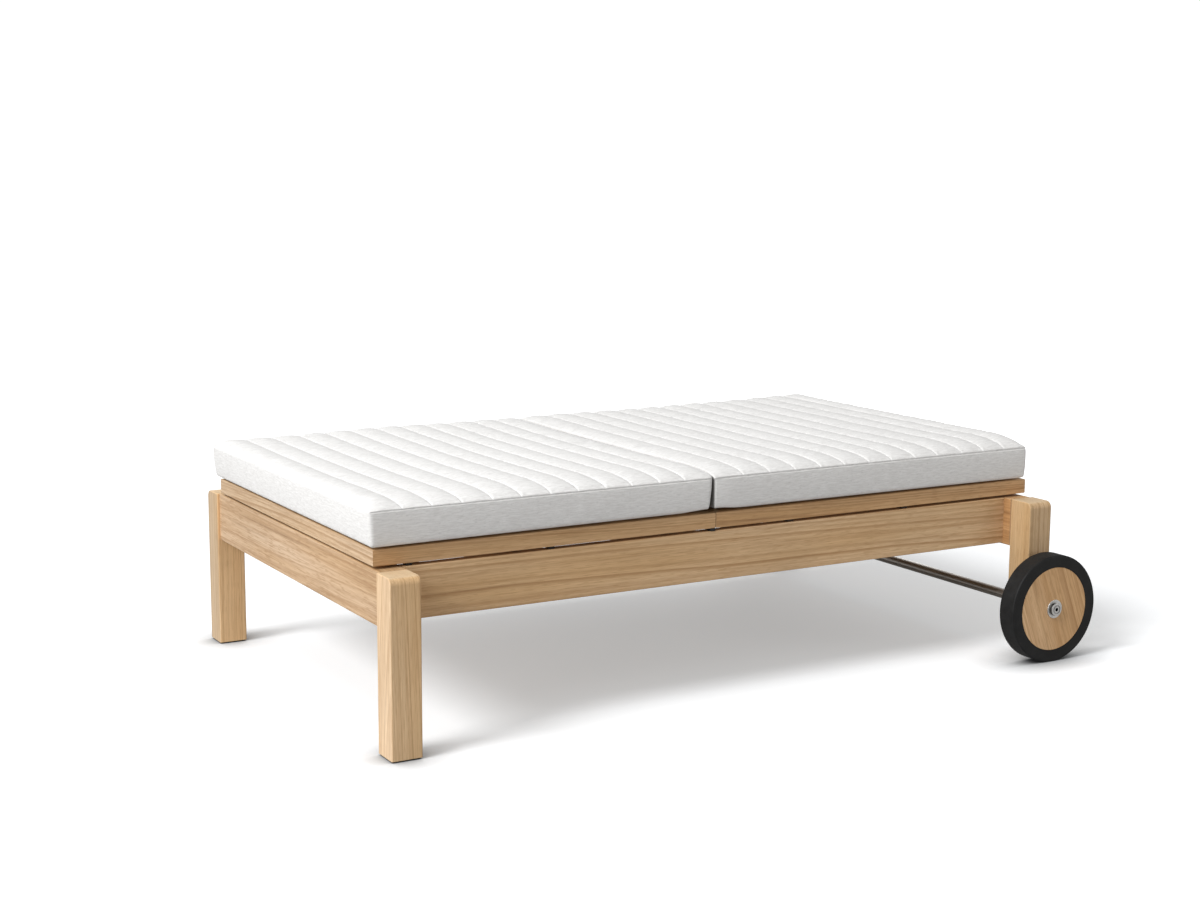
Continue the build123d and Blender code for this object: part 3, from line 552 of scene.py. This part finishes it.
def smooth_noise(x, y, seed, cell):
    """Value noise on a grid of cells, smooth and repeatable."""
    gx, gy = x / cell, y / cell
    ix, iy = np.floor(gx).astype(int), np.floor(gy).astype(int)
    fx, fy = gx - ix, gy - iy
    fx, fy = fx * fx * (3 - 2 * fx), fy * fy * (3 - 2 * fy)

    def h(a, b):
        s = np.sin(a * 127.1 + b * 311.7 + seed * 74.7) * 43758.5453
        return s - np.floor(s)
    top = h(ix, iy) * (1 - fx) + h(ix + 1, iy) * fx
    low = h(ix, iy + 1) * (1 - fx) + h(ix + 1, iy + 1) * fx
    return (top * (1 - fy) + low * fy) * 2 - 1


class Cushion:
    """reach0 and reach1 are how far each end rounds down to its seam; an end
    with reach None meets the other cushion and keeps its crown, with its seam
    following it. radius is the plan's corner radius at each end."""

    def __init__(self, name, x0, x1, lines, reach0, reach1, dip, seed,
                 radius):
        self.name, self.x0, self.x1 = name, x0, x1
        self.lines = lines
        self.reach0, self.reach1, self.dip, self.seed = (reach0, reach1, dip,
                                                         seed)
        self.stops = (x0, *lines, x1)
        self.radius = radius

    # columns and rows of the top
    def columns(self):
        ends = [(0.0, 0.18 * r, 0.45 * r, r, 16.0, 26.0)
                for r in self.radius]
        stitch = (0.0, 1.3, 3.2, 7.0, 14.0, 25.0)
        xs = []
        for i in range(len(self.stops) - 1):
            a, b = self.stops[i], self.stops[i + 1]
            left = ends[0] if i == 0 else stitch
            right = ends[1] if i == len(self.stops) - 2 else stitch
            xs += [a + d for d in left]
            xs.append((a + b) / 2)
            xs += [b - d for d in reversed(right)][:-1]
        xs.append(self.x1)
        return np.array(xs)

    def rows(self):
        edge = (0.0, 0.7, 1.6, 2.6, 4.0, 6.5, 9.5, 15.0, 22.0)
        n = int(round((Y1 - Y0 - 2 * edge[-1]) / 8.0))
        mid = np.linspace(Y0 + edge[-1], Y1 - edge[-1], n + 1)
        return np.array([Y0 + d for d in edge[:-1]] + list(mid)
                        + [Y1 - d for d in reversed(edge[:-1])])

    def height(self, x, y):
        """Top surface: quilted plateau, rounded down to the seam, with puffs
        between the stitch lines."""
        near, far = y - Y0, Y1 - y
        e = quarter(near, 135.0) * quarter(far, 48.0)
        lip = 0.0
        for d, reach in ((x - self.x0, self.reach0),
                         (self.x1 - x, self.reach1)):
            if reach is None:
                lip = lip + 3.0 * (1 - quarter(d, 13.0)) * e
            else:
                e = e * quarter(d, reach)
        plateau = np.interp(x, TOP_X, TOP_Z) - Z_SEAM
        plateau = plateau - self.dip * np.clip(
            1 - ((y - 660.0) / 430.0) ** 2, 0, 1)
        stops = np.array(self.stops)
        i = np.clip(np.searchsorted(stops, x, "right") - 1, 0,
                    len(stops) - 2)
        a, b = stops[i], stops[i + 1]
        t = np.clip((x - a) / (b - a), 0, 1)
        puff = 4 * t * (1 - t)
        pe = quarter(near, 20.0) * quarter(far, 20.0)
        return (Z_SEAM + plateau * e - lip
                + PUFF * puff * pe * (0.35 + 0.65 * e)
                + 0.8 * smooth_noise(x, y, self.seed, 170.0) * e)

    def underside(self, x):
        """The bottom lifts a few millimetres by the split, so that it has
        room to bend there."""
        split = self.x1 if self.reach1 is None else self.x0
        k = np.clip(1.0 - (np.abs(x - split) - 25.0) / 75.0, 0.0, 1.0)
        return Z_BOTTOM + 7.0 * k * k * (3 - 2 * k)

    def hem(self, x):
        """Lower edge of the sides: clear of the deck by a few millimetres,
        least at the outer ends."""
        split = self.x1 if self.reach1 is None else self.x0
        span = self.x1 - self.x0
        k = np.clip(1.15 - np.abs(x - split) / span, 0.0, 1.0)
        high = 5.0 if self.reach1 is None else 4.2
        return np.maximum(Z_BOTTOM + 0.6 + (high - 0.6) * k * k * (3 - 2 * k),
                          self.underside(x))

    def flare(self, P):
        """Corners stand out a little and the ends lean; P in millimetres."""
        frac = np.clip((P[:, 2] - Z_BOTTOM) / (Z_SEAM - Z_BOTTOM), 0, 1)
        near = np.exp(-((P[:, 1] - Y0) / 130.0) ** 2)
        far = np.exp(-((Y1 - P[:, 1]) / 150.0) ** 2)
        out = np.zeros_like(P)
        if self.reach1 is None:                    # foot end
            e = np.exp(-((P[:, 0] - self.x0) / 70.0) ** 2) * frac
            out[:, 0] = -e * (5.0 + 1.0 * near + 3.0 * far)
            out[:, 1] = e * (-1.5 * near + 3.0 * far)
        else:                                      # head end
            e = np.exp(-((self.x1 - P[:, 0]) / 90.0) ** 2) * frac
            out[:, 0] = e * (1.0 + 1.5 * near + 2.0 * far)
            out[:, 1] = e * (-1.5 * near + 3.0 * far)
        return out

    def build(self):
        xs, ys = self.columns(), self.rows()
        nx, ny = len(xs), len(ys)
        X, Y = np.meshgrid(xs, ys, indexing="ij")
        # round the plan's corners: square corner cells to quarter discs
        PX, PY = X.copy(), Y.copy()
        for sx, ex, r in ((1, self.x0, self.radius[0]),
                          (-1, self.x1, self.radius[1])):
            for sy, ey in ((1, Y0), (-1, Y1)):
                u = (r - sx * (X - ex)) / r
                v = (r - sy * (Y - ey)) / r
                m = (u > 0) & (v > 0)
                un = u * np.sqrt(np.clip(1 - v * v / 2, 0, 1))
                vn = v * np.sqrt(np.clip(1 - u * u / 2, 0, 1))
                PX[m] = (ex + sx * (r - un * r))[m]
                PY[m] = (ey + sy * (r - vn * r))[m]
        Z = self.height(X, Y)
        verts, rest, zone = [], [], []
        idx = np.arange(nx * ny).reshape(nx, ny)
        top = np.stack([PX, PY, Z], -1).reshape(-1, 3)
        verts.append(top)
        rest.append(np.stack([X, Y], -1).reshape(-1, 2))
        zone.append(np.zeros(nx * ny))
        # perimeter loop, counter-clockwise from above
        loop = ([(i, 0) for i in range(nx)]
                + [(nx - 1, j) for j in range(1, ny)]
                + [(i, ny - 1) for i in range(nx - 2, -1, -1)]
                + [(0, j) for j in range(ny - 2, 0, -1)])
        li = np.array([idx[i, j] for i, j in loop])
        n = len(li)
        seam = top[li]
        nxt, prv = np.roll(seam, -1, 0), np.roll(seam, 1, 0)
        tang = (nxt - prv)[:, :2]
        out = np.stack([tang[:, 1], -tang[:, 0]], 1)
        out /= np.linalg.norm(out, axis=1)[:, None]
        arc = np.concatenate([[0], np.cumsum(np.linalg.norm(
            np.diff(seam[:, :2], axis=0), axis=1))])
        depths = (2.2, 5.0, 10.0, 18.0, 28.0, 40.0, 52.0, 63.0, 72.0, 78.5,
                  82.5, 85.5)
        H = Z_SEAM - Z_BOTTOM
        rings = [li]
        count = nx * ny
        for d in depths:
            s = d / H
            bulge = 2.2 * math.sin(math.pi * min(1, s)) ** 0.8
            tuck = 0.0
            if d > 76.0:
                k = (d - 76.0) / (H - 76.0)
                tuck = 7.0 * (1 - math.sqrt(max(0.0, 1 - k * k)))
            wav = 0.7 * smooth_noise(arc, np.full(n, d), self.seed + 5, 120.0)
            off = bulge - tuck + wav * math.sin(math.pi * s)
            # the ends that meet at the split stay flatter
            if self.reach1 is None:
                off = np.where(out[:, 0] > 0.5, off * 0.5, off)
            if self.reach0 is None:
                off = np.where(out[:, 0] < -0.5, off * 0.5, off)
                away = np.exp(-((seam[:, 0] - self.x0) / 28.0) ** 2)
                off = off - 2.6 * away * (np.abs(out[:, 1]) > 0.5)
            ring = np.empty((n, 3))
            ring[:, :2] = seam[:, :2] + out * off[:, None]
            # the seat cushion's end leans back, so the split opens downwards
            if self.reach1 is None:
                ring[:, 0] -= 9.0 * s * np.exp(
                    -((self.x1 - seam[:, 0]) / 22.0) ** 2)
            ring[:, 2] = seam[:, 2] - s * (seam[:, 2] - self.hem(seam[:, 0]))
            verts.append(ring)
            rest.append(np.stack([arc, np.full(n, -d)], 1))
            zone.append(np.full(n, 1.0 if d < H else 2.0))
            rings.append(np.arange(count, count + n))
            count += n
        # inset ring of the flat bottom
        cx, cy = (self.x0 + self.x1) / 2, (Y0 + Y1) / 2
        for grow in (0.985, 0.93):
            base = verts[-1] if grow == 0.985 else base
            ring = base.copy()
            ring[:, 0] = cx + (base[:, 0] - cx) * grow
            ring[:, 1] = cy + (base[:, 1] - cy) * grow
            ring[:, 2] = self.underside(ring[:, 0])
            verts.append(ring)
            rest.append(ring[:, :2].copy())
            zone.append(np.full(n, 2.0))
            rings.append(np.arange(count, count + n))
            count += n
        V = np.concatenate(verts)
        V = V + self.flare(V)
        REST = np.concatenate(rest)
        ZONE = np.concatenate(zone)
        faces = []
        for i in range(nx - 1):
            for j in range(ny - 1):
                faces.append((idx[i, j], idx[i + 1, j], idx[i + 1, j + 1],
                              idx[i, j + 1]))
        ntop = len(faces)
        for a, b in zip(rings[:-1], rings[1:]):
            for k in range(n):
                m = (k + 1) % n
                faces.append((a[k], b[k], b[m], a[m]))
        V[:, 0] = (V[:, 0] - OX) / 1000
        V[:, 1] = (V[:, 1] - OY) / 1000
        V[:, 2] /= 1000
        me = bpy.data.meshes.new(self.name)
        me.from_pydata(V.tolist(), [], [tuple(int(c) for c in f)
                                        for f in faces])
        me.validate()
        # threads: top and bottom by plan, sides by arc and depth
        uvl = me.uv_layers.new(name="threads")
        lv = np.empty(len(me.loops), int)
        me.loops.foreach_get("vertex_index", lv)
        uv = np.empty((len(lv), 2))
        loops_per = np.empty(len(me.polygons), int)
        me.polygons.foreach_get("loop_total", loops_per)
        face_of = np.repeat(np.arange(len(me.polygons)), loops_per)
        side_lo, side_hi = ntop, ntop + n * len(depths)
        arcs = np.zeros(len(V))
        deps = np.zeros(len(V))
        for row, ring in enumerate(rings[:len(depths) + 1]):
            arcs[ring] = arc
            deps[ring] = 0.0 if row == 0 else -depths[row - 1]
        is_side = (face_of >= side_lo) & (face_of < side_hi)
        uv[:, 0] = np.where(is_side, arcs[lv] / 1000, V[lv, 0])
        uv[:, 1] = np.where(is_side, deps[lv] / 1000, V[lv, 1])
        # the last side column closes the loop
        col = (face_of - side_lo) % n
        wrap = is_side & (col == n - 1) & (arcs[lv] < 1.0)
        total = arc[-1] + np.linalg.norm(seam[0] - seam[-1])
        uv[wrap, 0] = total / 1000
        uvl.data.foreach_set("uv", uv.ravel())
        # the two faces that meet at the split, for the material's painted shade
        inner = np.zeros(len(V))
        facing = out[:, 0] * (1 if self.reach1 is None else -1)
        for row, ring in enumerate(rings[1:len(depths) + 1]):
            inner[ring] = (np.clip((facing - 0.80) / 0.18, 0, 1)
                           * (0.2 if row == 0 else 1.0))
        for key, vals in (("rest_x", REST[:, 0]), ("rest_y", REST[:, 1]),
                          ("zone", ZONE), ("inner_end", inner)):
            a = me.attributes.new(key, "FLOAT", "POINT")
            a.data.foreach_set("value", vals.astype(np.float32))
        # seams keep their edge through the subdivision
        crease = me.attributes.new("crease_edge", "FLOAT", "EDGE")
        ek = np.empty(len(me.edges) * 2, int)
        me.edges.foreach_get("vertices", ek)
        ek = ek.reshape(-1, 2)
        on = np.zeros(len(V), bool)
        on[li] = True
        c = np.where(on[ek[:, 0]] & on[ek[:, 1]], 0.9, 0.0)
        crease.data.foreach_set("value", c.astype(np.float32))
        self.me, self.V = me, V
        self.top_ids = idx.ravel()
        self.seam_ids = li
        self.side_ids = np.concatenate(rings[1:len(depths)])
        self.X, self.Y = REST[:, 0], REST[:, 1]
        self.out = out
        return me

    def simulate(self, obj):
        """Blow the quilted top up a little between its stitches."""
        n = len(self.V)
        pin = np.ones(n)
        tops = self.top_ids
        dist = np.min(np.abs(self.X[tops][:, None]
                             - np.array(self.stops)[None, :]), axis=1)
        edge = np.minimum(self.Y[tops] - Y0, Y1 - self.Y[tops])
        free = (dist > 2.0) & (edge > 3.0)
        pin[tops] = np.where(free, 0.0, 1.0)
        pin[self.side_ids] = 0.75
        group = obj.vertex_groups.new(name="pin")
        for w in (1.0, 0.75):
            ids = np.nonzero(np.isclose(pin, w))[0]
            group.add([int(i) for i in ids], w, "REPLACE")
        mod = obj.modifiers.new("cloth", "CLOTH")
        s = mod.settings
        s.quality = 5
        s.mass = 0.3
        s.tension_stiffness = s.compression_stiffness = 15
        s.shear_stiffness = 8
        s.bending_stiffness = 0.5
        s.use_pressure = True
        s.uniform_pressure_force = 4.0
        s.vertex_group_mass = "pin"
        s.pin_stiffness = 1.0
        s.shrink_min = -0.012
        s.effector_weights.gravity = 0.0
        mod.collision_settings.use_collision = False
        mod.collision_settings.use_self_collision = False
        mod.point_cache.frame_start = 1
        mod.point_cache.frame_end = 20
        for f in range(1, 21):
            scene.frame_set(f)
        dg = bpy.context.evaluated_depsgraph_get()
        ev = obj.evaluated_get(dg)
        got = np.empty(n * 3, np.float32)
        ev.data.vertices.foreach_get("co", got)
        got = got.reshape(-1, 3).astype(float)
        delta = got - self.V
        length = np.linalg.norm(delta, axis=1)
        print(self.name, "cloth moved up to %.1f mm, mean of the top %.2f mm"
              % (length.max() * 1000, length[tops].mean() * 1000))
        cap = 0.005
        k = cap * np.tanh(length / cap) / np.maximum(length, 1e-9)
        # the ends that face each other across the split keep their place
        split = ((self.x1 if self.reach1 is None else self.x0) - OX) / 1000
        k *= np.clip((np.abs(self.V[:, 0] - split) - 0.003) / 0.022, 0, 1)
        obj.modifiers.remove(mod)
        scene.frame_set(1)
        self.sim = delta * k[:, None]
        return self.sim

    def finish(self, obj):
        """One subdivision, then the seam, stitch valleys and puckers."""
        mod = obj.modifiers.new("smooth", "SUBSURF")
        mod.levels = mod.render_levels = 1
        mod.boundary_smooth = "PRESERVE_CORNERS"
        dg = bpy.context.evaluated_depsgraph_get()
        me = bpy.data.meshes.new_from_object(obj.evaluated_get(dg),
                                             preserve_all_data_layers=True,
                                             depsgraph=dg)
        obj.modifiers.remove(mod)
        obj.data = me
        n = len(me.vertices)
        co = np.empty(n * 3)
        me.vertices.foreach_get("co", co)
        co = co.reshape(-1, 3)

        def attr(key):
            out = np.empty(n, np.float32)
            me.attributes[key].data.foreach_get("value", out)
            return out.astype(float)
        x, y, zone = attr("rest_x"), attr("rest_y"), attr("zone")
        nrm = np.empty(n * 3, np.float32)
        me.vertex_normals.foreach_get("vector", nrm)
        nrm = nrm.reshape(-1, 3).astype(float)
        top = zone < 0.01
        lines = np.array(self.lines)
        d = np.min(np.abs(x[:, None] - lines[None, :]), axis=1)
        which = np.argmin(np.abs(x[:, None] - lines[None, :]), axis=1)
        edge = np.minimum(y - Y0, Y1 - y)
        inside = np.clip(edge / 6.0, 0, 1)
        # stitch valley, a little deeper at every few stitches
        along = smooth_noise(y, which * 37.0, self.seed + 11, 9.0)
        depth = (1.5 + 0.45 * along) * np.exp(-(d / 1.9) ** 2)
        # puckers beside the stitches
        pk = smooth_noise(y, which * 91.0 + np.sign(x - lines[which]) * 13.0,
                          self.seed + 3, 17.0)
        pucker = 0.45 * pk * np.exp(-((d - 7.0) / 7.0) ** 2)
        soft = 0.30 * smooth_noise(x, y, self.seed + 21, 46.0)
        move = np.where(top, (-depth + pucker + soft) * inside, 0.0)
        co += nrm * (move / 1000)[:, None]
        me.vertices.foreach_set("co", co.ravel())
        for key in ("rest_x", "rest_y", "zone"):
            me.attributes.remove(me.attributes[key])
        me.update()
        # the flat underside
        bm = bmesh.new()
        bm.from_mesh(me)
        uvl = bm.loops.layers.uv["threads"]
        rim = [e for e in bm.edges if len(e.link_faces) == 1]
        made = bmesh.ops.triangle_fill(bm, use_beauty=True, use_dissolve=False,
                                       edges=rim, normal=(0, 0, -1))
        for f in made["geom"]:
            if isinstance(f, bmesh.types.BMFace):
                if f.normal.z > 0:
                    f.normal_flip()
                for loop in f.loops:
                    loop[uvl].uv = loop.vert.co.xy
        bm.to_mesh(me)
        bm.free()
        me.update()


def make_cushion(c, nodes):
    me = c.build()
    obj = bpy.data.objects.new(c.name, me)
    scene.collection.objects.link(obj)
    c.simulate(obj)
    obj.data.vertices.foreach_set("co", (c.V + c.sim).ravel())
    obj.data.update()
    # the top seam is drawn in between panel and boxing
    co = np.empty(len(me.vertices) * 3)
    me.vertices.foreach_get("co", co)
    co = co.reshape(-1, 3)
    pull = np.where(c.out[:, 0] < -0.5, 0.45, 1.0)
    co[c.seam_ids, :2] -= c.out * 0.0022 * pull[:, None]
    co[c.seam_ids, 2] -= 0.0008 * pull
    me.vertices.foreach_set("co", co.ravel())
    me.update()
    for g in list(obj.vertex_groups):
        obj.vertex_groups.remove(g)
    c.finish(obj)
    me = obj.data
    me.materials.clear()
    me.materials.append(FABRIC)
    me.polygons.foreach_set("use_smooth", [True] * len(me.polygons))
    me.update()
    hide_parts(*nodes)
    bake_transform(obj)
    return obj


seat = Cushion("seat_cushion_quilted", -5.0, 934.0, SEAT_LINES, 40.0, None,
               4.0, 3.0, (9.0, 12.0))
back = Cushion("back_cushion_quilted", 938.0, 1983.0, BACK_LINES, None, 30.0,
               0.5, 8.0, (5.0, 9.0))
make_cushion(seat, ("seat_cushion", "seat_cushion_fold"))
make_cushion(back, ("back_cushion", "back_cushion_fold"))

# ---- floor, light, camera ---------------------------------------------------
bpy.ops.mesh.primitive_plane_add(size=120.0, location=(0, 0, 0))
floor = bpy.context.object
floor.name = "studio_floor"
t = Tree("studio_floor")
diffuse = t.node("ShaderNodeBsdfDiffuse")
glow = t.node("ShaderNodeEmission")
glow.inputs["Color"].default_value = (0.975, 0.992, 1.0, 1)
# painted contact shadow: the ground's colour and glow darken close beside the
# legs and the wheels
near = t.node("ShaderNodeAmbientOcclusion", samples=8)
near.inputs["Distance"].default_value = 0.13
dark = t.math("POWER", near.outputs["AO"], 1.5)
t.link(t.mix(dark, (0.02, 0.02, 0.02), (0.85, 0.86, 0.875)),
       diffuse.inputs["Color"])
place = t.node("ShaderNodeTexCoord")
far = t.node("ShaderNodeVectorMath", operation="LENGTH")
t.link(place.outputs["Object"], far.inputs[0])
t.link(t.math("MULTIPLY", dark,
              t.remap(far.outputs["Value"], 2.2, 5.0, 0.35, 1.0,
                      smooth=True)),
       glow.inputs["Strength"])
add = t.node("ShaderNodeAddShader")
dim = t.node("ShaderNodeBsdfDiffuse")
dim.inputs["Color"].default_value = (0.45, 0.45, 0.45, 1)
path = t.node("ShaderNodeLightPath")
pick = t.node("ShaderNodeMixShader")
out = t.node("ShaderNodeOutputMaterial")
t.link(diffuse.outputs[0], add.inputs[0])
t.link(glow.outputs[0], add.inputs[1])
t.link(path.outputs["Is Camera Ray"], pick.inputs[0])
t.link(dim.outputs[0], pick.inputs[1])
t.link(add.outputs[0], pick.inputs[2])
t.link(pick.outputs[0], out.inputs["Surface"])
floor.data.materials.append(t.mat)

world = bpy.data.worlds.new("studio")
scene.world = world
world.use_nodes = True
wn = world.node_tree
wn.nodes.clear()
lp = wn.nodes.new("ShaderNodeLightPath")
bg = wn.nodes.new("ShaderNodeBackground")
bg.inputs["Color"].default_value = (1.0, 1.0, 1.0, 1)
bg.inputs["Strength"].default_value = 0.32
bw = wn.nodes.new("ShaderNodeBackground")
bw.inputs["Color"].default_value = (1, 1, 1, 1)
bw.inputs["Strength"].default_value = 1.05
mx = wn.nodes.new("ShaderNodeMixShader")
wo = wn.nodes.new("ShaderNodeOutputWorld")
wn.links.new(lp.outputs["Is Camera Ray"], mx.inputs[0])
wn.links.new(bg.outputs[0], mx.inputs[1])
wn.links.new(bw.outputs[0], mx.inputs[2])
wn.links.new(mx.outputs[0], wo.inputs["Surface"])


def lamp(name, kind, target, direction, distance, energy, size, color=(1, 1, 1)):
    """direction points from the target to the lamp."""
    d = bpy.data.lights.new(name, kind)
    d.energy = energy
    d.color = color
    if kind == "SUN":
        d.angle = size
    else:
        d.shape = "SQUARE"
        d.size = size
    o = bpy.data.objects.new(name, d)
    v = Vector(direction).normalized()
    o.location = Vector(target) + v * distance
    o.rotation_euler = v.to_track_quat("Z", "Y").to_euler()
    scene.collection.objects.link(o)
    return o


def panel(name, place, target, energy, size, color=(1, 1, 1)):
    v = Vector(place) - Vector(target)
    return lamp(name, "AREA", target, v, v.length, energy, size, color)


EL, AZ = math.radians(40), math.radians(9)
lamp("key", "SUN", (0, 0, 0.4),
     (-math.cos(AZ) * math.cos(EL), -math.sin(AZ) * math.cos(EL),
      math.sin(EL)), 8.0, 2.3, math.radians(22))
panel("left_panel", (-4.2, -1.6, 1.5), (-0.6, 0.0, 0.35), 40.0, 2.2)
panel("overhead", (-1.4, 0.0, 3.0), (-0.6, 0.0, 0.5), 22.0, 2.0)
panel("front_fill", (3.6, -4.2, 1.3), (0.6, 0.0, 0.4), 29.0, 2.0,
      (1.0, 0.962, 0.905))
panel("back_fill", (3.4, 4.2, 1.2), (0.0, 0.0, 0.4), 30.0, 2.2)

cam = bpy.data.objects.new("camera", bpy.data.cameras.new("camera"))
scene.collection.objects.link(cam)
cam.data.sensor_fit = "HORIZONTAL"
cam.data.sensor_width = 36.0
cam.data.lens = 56.269
cam.data.clip_end = 200.0
right = Vector((0.86610556, -0.49982849, 0.00571231))
up = Vector((0.07471063, 0.14074151, 0.98722345))
back_ = -Vector((0.49424637, 0.85461296, -0.15923951))
m = Matrix((right, up, back_)).transposed().to_4x4()
m.translation = Vector((-2.70706401, -4.4539698, 1.39930703))
cam.matrix_world = m
scene.camera = cam

scene.view_settings.view_transform = "Standard"
scene.view_settings.look = "None"
scene.view_settings.exposure = 0.0
scene.view_settings.gamma = 1.0
